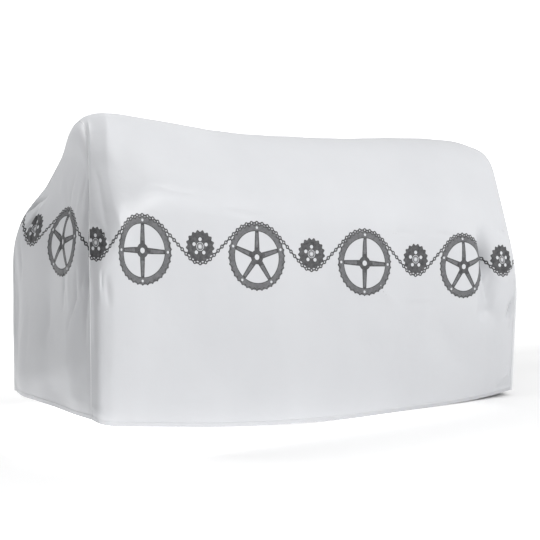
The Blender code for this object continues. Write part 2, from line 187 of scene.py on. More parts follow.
NEAR_CREASES = [
    # the hip: the near side faces the handlebar end up to this ridge, then turns
    Crease(0.03, 0.018, 0.6, [
        (-0.7, 1.2), (-0.745, 1.12), (-0.775, 1.05), (-0.798, 0.98), (-0.815, 0.91), (-0.828, 0.85),
        (-0.824, 0.78), (-0.806, 0.66)], 0.06),
    Crease(0.024, 0.01, 0.4, [(-0.71, 1.18), (-0.76, 1.085), (-0.795, 0.98)], 0.045),
    Crease(0.007, -0.004, 0.5, [
        (-0.83, 1.0), (-0.834, 0.935), (-0.849, 0.87), (-0.865, 0.8), (-0.868, 0.74)]),
    Crease(0.008, -0.005, 0.4, [(-0.888, 0.81), (-0.88, 0.76), (-0.852, 0.7)]),
    Crease(0.007, 0.004, 0.3, [(-0.907, 0.65), (-0.905, 0.51)]),
    Crease(0.006, -0.005, 0.4, [(-0.899, 0.64), (-0.899, 0.56)]),
    Crease(0.01, -0.006, 0.3, [(-0.884, 0.63), (-0.872, 0.5)]),
    # the corner turns softly, most of all below the frieze
    Crease(0.028, -0.0062, 0.0, [(-0.835, 0.97), (-0.909, 0.7), (-0.914, 0.35), (-0.916, 0.02)]),
    Crease(0.08, 0.008, 0.0, [(-0.78, 0.76), (-0.775, 0.4), (-0.775, 0.06)], 0.09),
    Crease(0.018, 0.006, 0.0, [(-0.935, 0.16), (-0.9, 0.13), (-0.85, 0.1)]),
    # fine drag lines above and round the frieze on the near side
    Crease(0.01, -0.004, 0.7, [(-0.69, 0.924), (-0.6, 0.894), (-0.455, 0.868)]),
    Crease(0.009, -0.003, 0.6, [(-0.43, 0.82), (-0.317, 0.796), (-0.2, 0.772)]),
    Crease(0.011, 0.003, 0.4, [(0.03, 0.634), (0.148, 0.667), (0.3, 0.696)]),
    Crease(0.01, -0.004, 0.5, [(0.24, 0.668), (0.37, 0.685), (0.48, 0.662)]),
    Crease(0.011, -0.004, 0.5, [(0.5, 0.678), (0.634, 0.651), (0.745, 0.622)]),
    Crease(0.013, 0.004, 0.3, [(0.225, 0.6), (0.286, 0.472), (0.38, 0.39)]),
    Crease(0.011, -0.004, 0.5, [(0.28, 0.436), (0.465, 0.404), (0.58, 0.412)]),
    # broad slack waves low on the near side
    Crease(0.05, -0.006, 0.0, [(0.0, 0.334), (0.139, 0.289), (0.31, 0.236)]),
    Crease(0.06, 0.005, 0.0, [(-0.31, 0.19), (-0.194, 0.125), (-0.08, 0.04)]),
    Crease(0.09, -0.006, 0.0, [(-0.56, 0.47), (-0.33, 0.08)]),
    Crease(0.06, -0.007, 0.0, [(0.49, 0.36), (0.74, 0.1)]),
    Crease(0.013, -0.003, 0.5, [(-0.85, 0.372), (-0.713, 0.332), (-0.57, 0.318)]),
    Crease(0.02, -0.003, 0.3, [(-0.69, 0.196), (-0.551, 0.144), (-0.43, 0.151)]),
    # the pocket in front of the rear corner: a crisp edge, then a slope out to the corner
    Crease(0.05, -0.026, 0.3, [
        (0.769, 0.65), (0.776, 0.58), (0.787, 0.5), (0.797, 0.44), (0.806, 0.37)], 0.007),
    Crease(0.034, -0.022, 0.3, [(0.77, 0.64), (0.778, 0.57), (0.788, 0.48)], 0.007),
    Crease(0.009, 0.005, 0.3, [(0.808, 0.51), (0.794, 0.43)]),
    Crease(0.028, -0.007, 0.0, [(0.798, 0.43), (0.815, 0.35), (0.85, 0.28)]),
    # puckers beside the rear seam
    Crease(0.009, 0.004, 0.2, [(0.85, 0.65), (0.905, 0.672), (0.96, 0.698)]),
    Crease(0.009, 0.004, 0.2, [(0.872, 0.616), (0.91, 0.634), (0.96, 0.656)]),
    Crease(0.008, 0.003, 0.2, [(0.872, 0.59), (0.91, 0.608), (0.96, 0.628)]),
    Crease(0.008, 0.005, 0.3, [(0.894, 0.56), (0.938, 0.576)]),
    Crease(0.007, 0.005, 0.3, [(0.894, 0.504), (0.938, 0.532)]),
    Crease(0.007, -0.005, 0.4, [(0.892, 0.486), (0.938, 0.506)]),
    Crease(0.007, 0.005, 0.3, [(0.894, 0.45), (0.938, 0.486)]),
    Crease(0.01, -0.014, 0.6, [(0.94, 0.412), (0.915, 0.362), (0.89, 0.3)], 0.012),
    Crease(0.009, 0.007, 0.4, [(0.938, 0.38), (0.916, 0.314), (0.902, 0.27)]),
    Crease(0.015, 0.006, 0.0, [(0.85, 0.052), (0.9, 0.085), (0.936, 0.13)]),
    Crease(0.007, -0.004, 0.4, [(0.84, 0.034), (0.915, 0.046)]),
]
# the far side and the rear panel are as slack as the rest
FAR_CREASES = [
    Crease(0.014, -0.004, 0.4, [(-0.7, 0.86), (-0.38, 0.78)]),
    Crease(0.08, -0.007, 0.0, [(-0.52, 0.42), (-0.2, 0.14)]),
    Crease(0.1, -0.009, 0.0, [(-0.888, 0.7), (-0.88, 0.4), (-0.88, 0.13)], 0.03),
    Crease(0.014, 0.004, 0.3, [(0.02, 0.56), (0.3, 0.64)]),
    Crease(0.07, 0.006, 0.0, [(0.08, 0.18), (0.38, 0.32)]),
    Crease(0.012, -0.004, 0.5, [(0.52, 0.6), (0.74, 0.54)]),
    Crease(0.06, -0.007, 0.0, [(0.56, 0.14), (0.82, 0.33)]),
    Crease(0.01, -0.01, 0.5, [(0.94, 0.44), (0.9, 0.33)]),
    Crease(0.007, 0.005, 0.3, [(0.88, 0.59), (0.938, 0.618)]),
]
REAR_CREASES = [
    Crease(0.012, -0.008, 0.4, [(-0.3, 0.7), (-0.18, 0.64), (-0.08, 0.56)]),
    Crease(0.011, -0.007, 0.4, [(0.3, 0.69), (0.2, 0.64), (0.11, 0.56)]),
    Crease(0.012, 0.005, 0.3, [(-0.29, 0.64), (-0.15, 0.56)]),
    Crease(0.06, 0.007, 0.0, [(-0.18, 0.4), (0.04, 0.17)]),
    Crease(0.05, -0.006, 0.0, [(0.06, 0.52), (0.21, 0.24)]),
]
CREASES = {"front": FRONT_CREASES, "near": NEAR_CREASES, "far": FAR_CREASES, "rear": REAR_CREASES}

# puckers of the cloth beside a seam, between two heights: pitch along the seam, reach into it
Pucker = namedtuple("Pucker", "seam z_low z_high pitch reach depth seed")
PUCKERS = [
    Pucker("front", 0.08, 0.7, 0.07, 0.03, 0.0015, 0.0),
    Pucker("rear", 0.42, 0.76, 0.028, 0.034, 0.004, 7.0),
    Pucker("rear", 0.02, 0.44, 0.06, 0.03, 0.0022, 14.0),
]
PUCKER_SLICE = 0.3      # where the noise is cut for the puckers
REAR_RUN_START = 5.0    # and where the rear seam's run starts in it, away from the front seam's

# slack of the whole cloth: how long and how high its soft waves are
Wave = namedtuple("Wave", "length height seed")
WAVES = [Wave(0.300, 0.0034, 3.7), Wave(0.120, 0.0014, 8.1), Wave(0.050, 0.0005, 1.9)]
WAVE_SQUEEZE = (1.0, 1.0, 0.7)  # less than 1 draws the waves out, here downwards

# the camera stands where the photograph was taken from
VIEW_TARGET = Vector((0.004, 0.0, 0.530))
VIEW_AZIMUTH, VIEW_ELEVATION = radians(-33.0), radians(8.0)
VIEW_DISTANCE = 8.8
VIEW_LENS = 154.8
VIEW_SENSOR = 36.0

NEAR, FAR = -1, 1
FRIEZE_MIDDLE = 0.12            # height in the frieze at which its length is measured
SHARP_EDGE = radians(35)        # an edge turned by more than this is drawn hard


# --- what a user may change -----------------------------------------------------------------
def metres(name, description, default):
    """A setting that is a length."""
    return FloatProperty(name=name, description=description, default=default, unit="LENGTH")


def amount(name, description, default):
    """A setting that is a plain number."""
    return FloatProperty(name=name, description=description, default=default)


def whole(name, description, default):
    """A setting that is a whole number."""
    return IntProperty(name=name, description=description, default=default)


def tint(name, description, default):
    """A setting that is a colour."""
    return FloatVectorProperty(
        name=name, description=description, default=default, subtype="COLOR")


class FilmSizes(bpy.types.PropertyGroup):
    """Sizes of the film, its hem and its seams."""

    thickness: metres("Film", "Thickness of the film", 0.0007)
    hem_band: metres("Hem", "Height of the turned hem", 0.014)
    hem_step: metres("Hem step", "Slope from the hem's face back to the sheet", 0.0007)
    hem_extra: metres("Hem relief", "How far the hem's face stands out of the sheet", 0.0010)
    fin: metres("Seam fin", "Width of a seam's fin on the walls", 0.0095)
    flat_fin: metres("Flattened fin", "Width to which the near front seam's fin is pressed", 0.0010)
    fin_at_crown: metres("Seam fin at the crown", "Width of the fin where it crosses the top", 0.0013)
    fin_gap: metres("Seam gap", "Gap between the two edges of a seam", 0.0003)
    rear_lean: amount("Rear seam's lean", "How far the rear seam's fins are turned rearwards", 0.45)
    near_lean: amount("Near front seam's lean", "How far its fin is turned to the near side", 3.2)
    far_lean: amount("Far front seam's lean", "How far its fin is turned to the far side", 2.0)


class FriezeLook(bpy.types.PropertyGroup):
    """The printed frieze of toothed rings and a chain."""

    repeats: whole("Repeats", "Rings in the frieze, once round the cover", 11)
    offset: metres("Offset", "How far before the front seam a ring's centre lies", 0.208)
    centre: metres("Centre", "Height of the rings' centres above the frieze's foot", 0.138)
    ring: metres("Ring", "Radius of the chain's run round a ring", 0.124)
    cog: metres("Cog", "Radius of the chain's run round a cog", 0.060)
    cog_rise: metres("Cog rise", "How far the cogs' centres lie above the rings'", 0.024)
    links: whole("Links", "Chain links from the top of a ring to the foot of a cog", 13)
    ink: tint("Ink", "Colour of the ink", (0.012, 0.012, 0.014))
    tone: tint("Half tone", "Colour of the lighter ink", (0.075, 0.076, 0.081))


class FilmLook(bpy.types.PropertyGroup):
    """Finish of the film, with painted shade on its hem and painted light on its fins."""

    silver: tint("Silver", "Colour of the film", (0.590, 0.598, 0.617))
    shade: tint("Shade", "Colour of the film's faint clouds", (0.523, 0.531, 0.551))
    # the doubled hem's colour: a slight tone of the doubled film and painted shade where the hem
    # turns under
    doubled_and_shade: tint("Doubled film", "Colour where two layers are welded", (0.450, 0.456, 0.474))
    # painted light: the fins' colour is lighter than the film, so that the fins show as lit strips
    # though they lie in the cover's shadow
    painted_fin_light: tint("Welded film", "Colour of the pressed edges in the fins", (0.800, 0.806, 0.816))
    inside: tint("Inside", "Colour of the film's back", (0.500, 0.505, 0.520))
    roughness: amount("Roughness", "Roughness of the film", 0.40)


class StudioLook(bpy.types.PropertyGroup):
    """The plain floor and the soft lights."""

    floor: tint("Floor", "Colour of the floor", (0.900, 0.900, 0.900))
    hem_glow: amount("Floor glow at the hem", "Light through the floor beside the front hem", 1.40)
    far_glow: amount("Far floor glow", "Light through the floor far away", 0.50)
    back_glow: amount("Floor glow behind", "Light through the floor in the cover's shadow", 0.35)
    key: amount("Key light", "Power of the key light", 104.0)
    top: amount("Top light", "Power of the top light", 44.0)
    end: amount("End light", "Power of the end light", 20.5)
    side: amount("Side light", "Power of the side light", 0.8)
    sky: amount("Sky", "Brightness of the studio's walls", 0.71)


class CoverSettings(bpy.types.PropertyGroup):
    """All settings of the cover."""

    film: PointerProperty(type=FilmSizes)
    frieze: PointerProperty(type=FriezeLook)
    look: PointerProperty(type=FilmLook)
    studio: PointerProperty(type=StudioLook)


# --- the shape of the cloth -----------------------------------------------------------------
def unit(vectors):
    return vectors / np.linalg.norm(vectors, axis=-1, keepdims=True)


def run_of(points):
    """Distance along a chain of points, from its first."""
    return np.concatenate([[0], np.cumsum(np.linalg.norm(np.diff(points, axis=0), axis=1))])


def distance_along(grid, axis):
    """Cloth distance of each point from the grid's first column, axis 0, or first row, axis 1."""
    steps = np.linalg.norm(np.diff(grid, axis=axis), axis=2)
    return np.insert(np.cumsum(steps, axis=axis), 0, 0.0, axis=axis)


def through_rows(knots, rows, at):
    """Smooth curve through the rows of a table, read at one place along it."""
    k = int(np.clip(np.searchsorted(knots, at, side="right") - 1, 0, len(knots) - 2))
    slopes = np.diff(rows, axis=0) / np.diff(knots)[:, None]
    tangents = np.empty_like(rows)
    tangents[0], tangents[-1] = slopes[0], slopes[-1]
    spans = np.diff(knots)[:, None]
    tangents[1:-1] = (slopes[1:] * spans[:-1] + slopes[:-1] * spans[1:]) / (spans[1:] + spans[:-1])
    span = knots[k + 1] - knots[k]
    f = (at - knots[k]) / span
    return ((2 * f**3 - 3 * f**2 + 1) * rows[k] + (f**3 - 2 * f**2 + f) * span * tangents[k]
            + (3 * f**2 - 2 * f**3) * rows[k + 1] + (f**3 - f**2) * span * tangents[k + 1])


def all_sections():
    """The table's sections with the fine strips between them filled in."""
    rows = np.array([section[2:] for section in SECTIONS])
    knots = run_of(np.array([(s.x_shoulder, s.half_shoulder, s.z_shoulder) for s in SECTIONS]))
    filled = []
    for section, start, end in zip(SECTIONS, knots, knots[1:]):
        count = round((end - start) / section.step)
        for step in range(count):
            at = start + (end - start) * step / count
            filled.append(Section(section.name, section.step, *through_rows(knots, rows, at)))
    return filled + [SECTIONS[-1]]


def bend(start, corner, end, count):
    """Points of a rounded corner after its start, its end included."""
    f = (np.arange(count) + 1)[:, None] / count
    return (1 - f)**2 * start + 2 * f * (1 - f) * corner + f**2 * end


def straight(start, end, count):
    """Evenly spaced points after the start, the end included."""
    f = (np.arange(count) + 1)[:, None] / count
    return start + (end - start) * f


def towards(point, other, distance):
    return point + (other - point) * distance / np.linalg.norm(other - point)


def arch_side(section, side, hem_band, hem_step):
    """One side of a section, as points from hem to ridge."""
    z_hem, z_shoulder = section.z_hem, section.z_shoulder
    if side == FAR:
        z_hem, z_shoulder = section.z_hem_far, section.z_shoulder_far
    hem = np.array([section.x_hem, side * section.half_hem, z_hem])
    shoulder = np.array([section.x_shoulder, side * section.half_shoulder, z_shoulder])
    crown = np.array([section.x_ridge, side * section.half_crown, section.z_ridge])
    ridge = np.array([section.x_ridge, 0.0, section.z_ridge])
    sheet_start = towards(hem, shoulder, hem_band + hem_step)
    wall_end = towards(shoulder, hem, SHOULDER_ROUND)
    roof_start = towards(shoulder, crown, SHOULDER_ROUND)
    roof_end = towards(crown, shoulder, CROWN_ROUND)
    return np.vstack([
        hem,
        towards(hem, shoulder, hem_band),
        sheet_start,
        straight(sheet_start, wall_end, SHEET_ROWS.wall),
        bend(wall_end, shoulder, roof_start, SHEET_ROWS.shoulder),
        straight(roof_start, roof_end, SHEET_ROWS.roof),
        bend(roof_end, crown, ridge, SHEET_ROWS.crown),
    ])


def normals_of(grid):
    """Outward unit normals of a grid of points."""
    along, up = np.gradient(grid, axis=0), np.gradient(grid, axis=1)
    return unit(np.cross(along, up))


def off_line(points, axis, line):
    """Each point's distance from a line, which side it is on and how far along, 0 to 1."""
    line = np.array(line)
    place = points[..., (axis, 2)]
    starts = run_of(line)
    nearest = np.full(place.shape[:-1], np.inf)
    side, along = np.zeros_like(nearest), np.zeros_like(nearest)
    for start, end, before in zip(line, line[1:], starts):
        way = end - start
        step = np.clip((place - start) @ way / (way @ way), 0, 1)
        off = place - start - step[..., None] * way
        away = np.linalg.norm(off, axis=-1)
        closer = away < nearest
        nearest = np.where(closer, away, nearest)
        side = np.where(closer, np.sign(way[0] * off[..., 1] - way[1] * off[..., 0]), side)
        along = np.where(closer, (before + step * np.linalg.norm(way)) / starts[-1], along)
    return nearest, side, along


def fold_height(points, face):
    """How far the main folds of one face of the cover lift the cloth at each point."""
    axis = 1 if face in ("front", "rear") else 0
    lift = np.zeros(points.shape[:-1])
    for fold in FOLDS:
        if fold.face == face:
            line = [(fold.start, fold.z_start), (fold.end, fold.z_end)]
            away, _, _ = off_line(points, axis, line)
            lift += fold.depth * np.exp(-(away / fold.reach)**2)
    return lift


def crease_height(points, face):
    """The same for the creases."""
    axis = 1 if face in ("front", "rear") else 0
    lift = np.zeros(points.shape[:-1])
    for crease in CREASES[face]:
        away, side, along = off_line(points, axis, crease.line)
        reach = np.where(side > 0, crease.reach, crease.right or crease.reach)
        crest = np.exp(-(away / reach)**(2 - crease.sharp))
        run_out = np.sin(pi * along)**(1 - crease.sharp / 2)
        lift += crease.depth * crest * run_out
    return lift


def slack(points):
    """Soft waves of cloth that hangs free, drawn out downwards."""
    flat = points.reshape(-1, 3)
    lift = np.zeros(len(flat))
    for wave in WAVES:
        scaled = flat / wave.length * WAVE_SQUEEZE + wave.seed
        lift += wave.height * np.array([noise.noise(p) for p in scaled])
    return lift.reshape(points.shape[:-1])


def pucker_height(z, from_seam, run, seam):
    """Small gathers of the cloth beside one seam."""
    lift = np.zeros_like(z)
    for pucker in PUCKERS:
        if pucker.seam != seam:
            continue
        middle, half = (pucker.z_low + pucker.z_high) / 2, (pucker.z_high - pucker.z_low) / 2
        window = np.clip(1 - ((z - middle) / half)**2, 0, 1)
        waves = np.array([
            noise.noise((at / pucker.pitch, pucker.seed, PUCKER_SLICE)) for at in run])
        # a gather starts just off the weld, which holds the cloth flat
        shape = (from_seam / pucker.reach) * np.exp(1 - from_seam / pucker.reach)
        lift += pucker.depth * waves * window * shape
    return lift


def sheet_grid(hem_band, hem_step):
    """Outer face of the long sheet: columns along the cover, rows from near hem to far hem."""
    columns = []
    for section in all_sections():
        near, far = (arch_side(section, side, hem_band, hem_step) for side in (NEAR, FAR))
        columns.append(np.vstack([near, far[-2::-1]]))
    grid = np.array(columns)
    from_front = distance_along(grid, 0)
    to_rear = from_front[-1] - from_front
    held = np.clip(np.minimum(from_front, to_rear) / SEAM_WELD, 0, 1)
    lift = slack(grid)
    for side, face in ((NEAR, "near"), (FAR, "far")):
        on_side = np.clip(side * grid[..., 1] / RIDGE_FADE, 0, 1)
        lift += on_side * (fold_height(grid, face) + held * crease_height(grid, face))
    run = run_of(grid[0])
    lift += pucker_height(grid[..., 2], from_front, run, "front")
    lift += pucker_height(grid[..., 2], to_rear, run + REAR_RUN_START, "rear")
    return grid + normals_of(grid) * lift[..., None]


def respaced(values, old, new):
    """The values along an arch's edge, with other counts of strips in each of its stretches."""
    old_ends, new_ends = np.cumsum([0, *old]), np.cumsum([0, *new])
    half = np.interp(np.arange(new_ends[-1] + 1), new_ends, old_ends)
    whole_arch = np.concatenate([half, (2 * old_ends[-1] - half)[-2::-1]])
    rows = np.arange(len(values))
    return np.stack([np.interp(whole_arch, rows, column) for column in values.T], axis=-1)


def panel_sides(edge):
    """An arch's left and right stretches, each from its hem up to the panel's top edge."""
    return edge[:PANEL_SIDE_ROWS + 1], edge[::-1][:PANEL_SIDE_ROWS + 1]


def panel_grid(edge, face, bulge):
    """Outer face of an end panel, inside the arch that the long sheet's edge makes.

    edge is that arch from one hem to the other. Low down, the columns lie closer near the
    seams. Also gives how far across the panel each point lies, 0 to 1.
    """
    left, right = panel_sides(edge)
    top = edge[PANEL_SIDE_ROWS:len(edge) - PANEL_SIDE_ROWS]
    upward = np.linspace(0, 1, PANEL_SIDE_ROWS + 1)
    evenly = np.linspace(0, 1, len(top))[:, None]
    near_seams = (1 - np.cos(pi * evenly)) / 2
    across = near_seams + (evenly - near_seams) * upward**EVEN_COLUMNS_POWER
    grid = left + (right - left) * across[..., None]
    arch = top - grid[:, -1]
    grid += arch[:, None] * (upward**ARCH_POWER)[:, None]
    # the slope of the panel follows the seam beside it
    half = len(edge) // 2
    x_left = np.interp(grid[..., 2], edge[:half + 1, 2], edge[:half + 1, 0])
    x_right = np.interp(grid[..., 2], edge[::-1][:half + 1, 2], edge[::-1][:half + 1, 0])
    grid[..., 0] = x_left + (x_right - x_left) * across
    grid[..., 0] += (top[:, 0] - grid[:, -1, 0])[:, None] * upward**TOP_EDGE_POWER
    off_sides = 4 * across * (1 - across)
    inside = off_sides * (1 - upward**BULGE_POWER)
    held_at_seam = np.minimum(1, SEAM_HOLD * off_sides) * np.minimum(1, TOP_HOLD * (1 - upward))
    lift = fold_height(grid, face) + crease_height(grid, face) + slack(grid)
    risen = distance_along(grid, 1)
    below_top = risen[:, -1:] - risen
    top_round = TOP_ROUND_SLOPE * below_top * np.clip(1 - below_top / TOP_ROUND, 0, 1)**2
    lift = lift * held_at_seam + top_round * off_sides
    grid[..., 0] += bulge * inside + np.sign(bulge) * lift
    return grid, across


def across_seam(inward, tangent):
    """Unit vectors from the seam into a piece, square to the seam."""
    return unit(inward - np.sum(inward * tangent, axis=-1, keepdims=True) * tangent)


class Film:
    """One piece of film: a grid with a thickness, and fins along some of its edge.

    cloth holds each point's place in the print: along the frieze, and up from its foot.
    """

    def __init__(self, name, grid, cloth, sizes):
        self.name, self.grid, self.cloth, self.sizes = name, grid, cloth, sizes
        self.normals = normals_of(grid)
        self.outer = grid.copy()
        self.outer[1:-1, :2] += sizes.hem_extra * self.normals[1:-1, :2]
        self.inner = grid - sizes.thickness * self.normals
        self.chains = []    # for each fin, the grid places of its seam and its two edges

    def add_fin(self, places, inward_places, direction, width):
        """Turn the edge at places outwards, along direction, half a gap off the seam."""
        here, inward_here = tuple(places.T), tuple(inward_places.T)
        seam = self.grid[here]
        tangent = unit(np.gradient(seam, axis=0))
        inward = across_seam(self.grid[inward_here] - seam, tangent)
        normal = unit(np.cross(tangent, inward))
        normal *= np.sign(np.sum(normal * self.normals[inward_here], axis=-1, keepdims=True))
        fin = across_seam(direction, tangent)
        side = unit(np.cross(tangent, fin))
        side *= np.sign(np.sum(side * inward, axis=-1, keepdims=True))
        slant = np.maximum(np.sum(inward * side, axis=-1), LEAST_SLANT)[:, None]
        lean = np.sum(normal * side, axis=-1)[:, None]
        film, half_gap = self.sizes.thickness, self.sizes.fin_gap / 2
        self.inner[here] = seam - film * normal + (half_gap + film * lean) / slant * inward
        self.outer[here] = seam + (half_gap + film) / slant * inward
        tip = seam + width * fin
        out, back = tip + (half_gap + film) * side, tip + half_gap * side
        self.chains.append((places, out, back))

    @property
    def one_hem(self):
        """An end panel's rows run from its hem to its top seam, the long sheet's hem to hem."""
        return len(self.chains) == 1

    def closed_shell(self):
        """Points, faces, and for each point its place in the print and off the edges."""
        columns, rows = self.grid.shape[:2]
        count = columns * rows
        outer = np.arange(count).reshape(columns, rows)
        inner = outer + count
        points = [self.outer.reshape(-1, 3), self.inner.reshape(-1, 3)]
        faces = [self.cells(outer), self.cells(inner)[:, ::-1]]
        cloth = [self.cloth.reshape(-1, 2)] * 2
        hem, seam = self.edge_distances()
        edges = [np.stack([hem.ravel(), seam.ravel(), np.zeros(count)], axis=-1)] * 2
        border = self.border(outer)
        for places, out, back in self.chains:
            seam_line = outer[tuple(places.T)]
            out_line = sum(len(some) for some in points) + np.arange(len(out))
            back_line = out_line + len(out)
            points += [out, back]
            cloth += [self.cloth[tuple(places.T)]] * 2
            edges += [np.tile([1.0, 0.0, 1.0], (2 * len(out), 1))]
            lines = np.stack([seam_line, out_line, back_line, seam_line + count])
            for a, b in zip(lines, lines[1:]):
                faces.append(np.stack([a[:-1], a[1:], b[1:], b[:-1]], axis=-1))
            faces += [lines[:, :1].T, lines[:, -1:].T]
            pairs = {frozenset(pair) for pair in zip(seam_line.tolist(), seam_line[1:].tolist())}
            border = [edge for edge in border if frozenset(edge) not in pairs]
        faces.append(np.array([(a + count, b + count, b, a) for a, b in border]))
        return (np.concatenate(part) for part in (points, faces, cloth, edges))

    def to_object(self, materials):
        """The closed mesh, its outside in the first material and its inside in the second."""
        points, faces, cloth, edges = self.closed_shell()
        cells_a_face = (self.grid.shape[0] - 1) * (self.grid.shape[1] - 1)
        inside = np.zeros(len(faces), np.int32)
        inside[cells_a_face:2 * cells_a_face] = 1
        data = bpy.data.meshes.new(self.name)
        data.from_pydata(points.tolist(), [], faces.tolist())
        data.polygons.foreach_set("material_index", inside)
        turn_outwards(data)
        corners = np.empty(len(data.loops), np.int32)
        data.loops.foreach_get("vertex_index", corners)
        data.uv_layers.new(name="cloth").uv.foreach_set(
            "vector", cloth[corners].astype(np.float32).ravel())
        data.attributes.new("edges", "FLOAT_VECTOR", "POINT").data.foreach_set(
            "vector", edges.astype(np.float32).ravel())
        data.shade_smooth()
        data.set_sharp_from_angle(angle=SHARP_EDGE)
        for material in materials:
            data.materials.append(material)
        piece = bpy.data.objects.new(self.name, data)
        bpy.context.scene.collection.objects.link(piece)
        return piece

    @staticmethod
    def cells(index):
        """Quads over a grid of vertex numbers, each half split the way its top corner needs."""
        quads = np.stack([index[:-1, :-1], index[1:, :-1], index[1:, 1:], index[:-1, 1:]], axis=-1)
        half = (len(quads) + 1) // 2
        quads[:half] = np.roll(quads[:half], -1, axis=-1)
        return quads.reshape(-1, 4)

    @staticmethod
    def border(index):
        """Pairs of vertex numbers round the edge of a grid."""
        ring = np.concatenate([index[:-1, 0], index[-1, :-1], index[:0:-1, -1], index[0, :0:-1]])
        return list(zip(ring.tolist(), np.roll(ring, -1).tolist()))

    def edge_distances(self):
        """Cloth distance of each grid point above its hem and from the nearest seam."""
        above, across = distance_along(self.grid, 1), distance_along(self.grid, 0)
        seam = np.minimum(across, across[-1] - across)
        if self.one_hem:
            return above, np.minimum(seam, above[:, -1:] - above)
        return np.minimum(above, above[:, -1:] - above), seam


def turn_outwards(data):
    mesh = bmesh.new()
    mesh.from_mesh(data)
    bmesh.ops.recalc_face_normals(mesh, faces=mesh.faces)
    mesh.to_mesh(data)
    mesh.free()


def print_places(grid):
    """Each point's place in the print: along the frieze, and up the cloth from its foot."""
    columns, rows = grid.shape[:2]
    middle = rows // 2
    from_hem = distance_along(grid, 1)
    down = np.abs(from_hem - from_hem[:, middle:middle + 1])
    foot = np.array([np.interp(section.z_frieze, column[:middle, 2], drop[:middle])
                     for section, column, drop in zip(all_sections(), grid, down)])
    up = foot[:, None] - down
    frieze_row = int(np.argmin(np.abs(up[columns // 2, :middle] - FRIEZE_MIDDLE)))
    along = run_of(grid[:, frieze_row])
    return np.stack([np.broadcast_to(along[:, None], up.shape), up], axis=-1)


# An end panel lies in the arch of the long sheet's first or last column. The panel's columns run
# the same way round the cover as the long sheet's, seen from outside, so way is that of the
# sheet's rows along the panel's arch.
End = namedtuple("End", "name face column next_column way bulge")
ENDS = (End("front_film", "front", 0, 1, -1, -PANEL_BULGE),
        End("rear_film", "rear", -1, -2, 1, PANEL_BULGE))


def panel_film(end, sheet):
    """The panel at one end of the long sheet."""
    edge = respaced(sheet.grid[end.column][::end.way], SHEET_ROWS, PANEL_ROWS)
    edge_up = respaced(sheet.cloth[end.column][::end.way, 1:], SHEET_ROWS, PANEL_ROWS)[:, 0]
    grid, across = panel_grid(edge, end.face, end.bulge)
    half_up = PANEL_SIDE_ROWS // 2
    gap = np.linalg.norm(edge[half_up] - edge[-1 - half_up])
    left, right = panel_sides(edge_up)
    start = -gap if end.face == "front" else sheet.cloth[-1, 0, 0]
    cloth = np.stack([across * gap + start, left + (right - left) * across], axis=-1)
    return Film(end.name, grid, cloth, sheet.sizes)


def grid_places(columns, rows):
    """Grid places, from column and row numbers."""
    return np.stack(np.broadcast_arrays(columns, rows), axis=-1)


def panel_seam(columns):
    """Grid places round a panel's seam from hem to hem, and the places next to them inside."""
    last, top = columns - 1, PANEL_SIDE_ROWS
    ups, tops = np.arange(top), np.arange(columns)
    downs = ups[::-1]
    seam = [grid_places(0, ups), grid_places(tops, top), grid_places(last, downs)]
    inward = [grid_places(1, ups), grid_places(np.clip(tops, 1, last - 1), top - 1),
              grid_places(last - 1, downs)]
    return np.vstack(seam), np.vstack(inward)


def weld(sheet, panel, end):
    """Turn both edges of a seam outwards, the same way, as a fin."""
    sizes = sheet.sizes
    rows = np.arange(sheet.grid.shape[1])
    middle = len(rows) // 2
    from_hem = np.minimum(rows, rows[::-1])
    on_roof = np.clip((from_hem - SHEET_ROWS.hem - SHEET_ROWS.wall) / SHEET_ROWS.shoulder, 0, 1)
    width = sizes.fin + (sizes.fin_at_crown - sizes.fin) * on_roof
    seam, inward = (found[::end.way] for found in panel_seam(len(panel.grid)))
    panel_normals = respaced(panel.normals[tuple(inward.T)], PANEL_ROWS, SHEET_ROWS)
    fin = sheet.normals[end.column] + unit(panel_normals)
    if end.face == "front":
        fin[:middle, 1] -= sizes.near_lean
        fin[middle + 1:, 1] += sizes.far_lean * (1 - on_roof[middle + 1:])
        width[:middle] = np.minimum(width[:middle], sizes.flat_fin)
    else:
        fin[:, 0] += sizes.rear_lean
    fin, width = unit(fin), width[:, None]
    panel.add_fin(seam, inward, respaced(fin, SHEET_ROWS, PANEL_ROWS),
                  respaced(width, SHEET_ROWS, PANEL_ROWS))
    sheet.add_fin(
        grid_places(end.column, rows), grid_places(end.next_column, rows), fin, width)


@lru_cache(maxsize=1)
def cut_cover():
    """The three pieces of film, shaped, with their seams turned out."""
    sizes = bpy.context.scene.bicycle_cover.film
    grid = sheet_grid(sizes.hem_band, sizes.hem_step)
    sheet = Film("body_film", grid, print_places(grid), sizes)
    panels = []
    for end in ENDS:
        panel = panel_film(end, sheet)
        weld(sheet, panel, end)
        panels.append(panel)
    return sheet, *panels


# --- shader expressions ---------------------------------------------------------------------
SOFT_EDGE = 0.0005      # how softly the ink ends


def operator(operation):
    """A Python operator that adds a maths node."""
    return lambda self, *others: self.maths(operation, *others)


class Socket:
    """A node's output that takes part in Python arithmetic."""

    def __init__(self, nodes, socket):
        self.nodes, self.socket = nodes, socket

    def maths(self, operation, *values):
        return self.nodes.maths(operation, self, *values)

    def __rsub__(self, other):
        return self.nodes.maths("SUBTRACT", other, self)

    __add__ = __radd__ = operator("ADD")
    __mul__ = __rmul__ = operator("MULTIPLY")
    __sub__ = operator("SUBTRACT")
    __truediv__ = operator("DIVIDE")
    __mod__ = operator("FLOORED_MODULO")
    __abs__ = operator("ABSOLUTE")


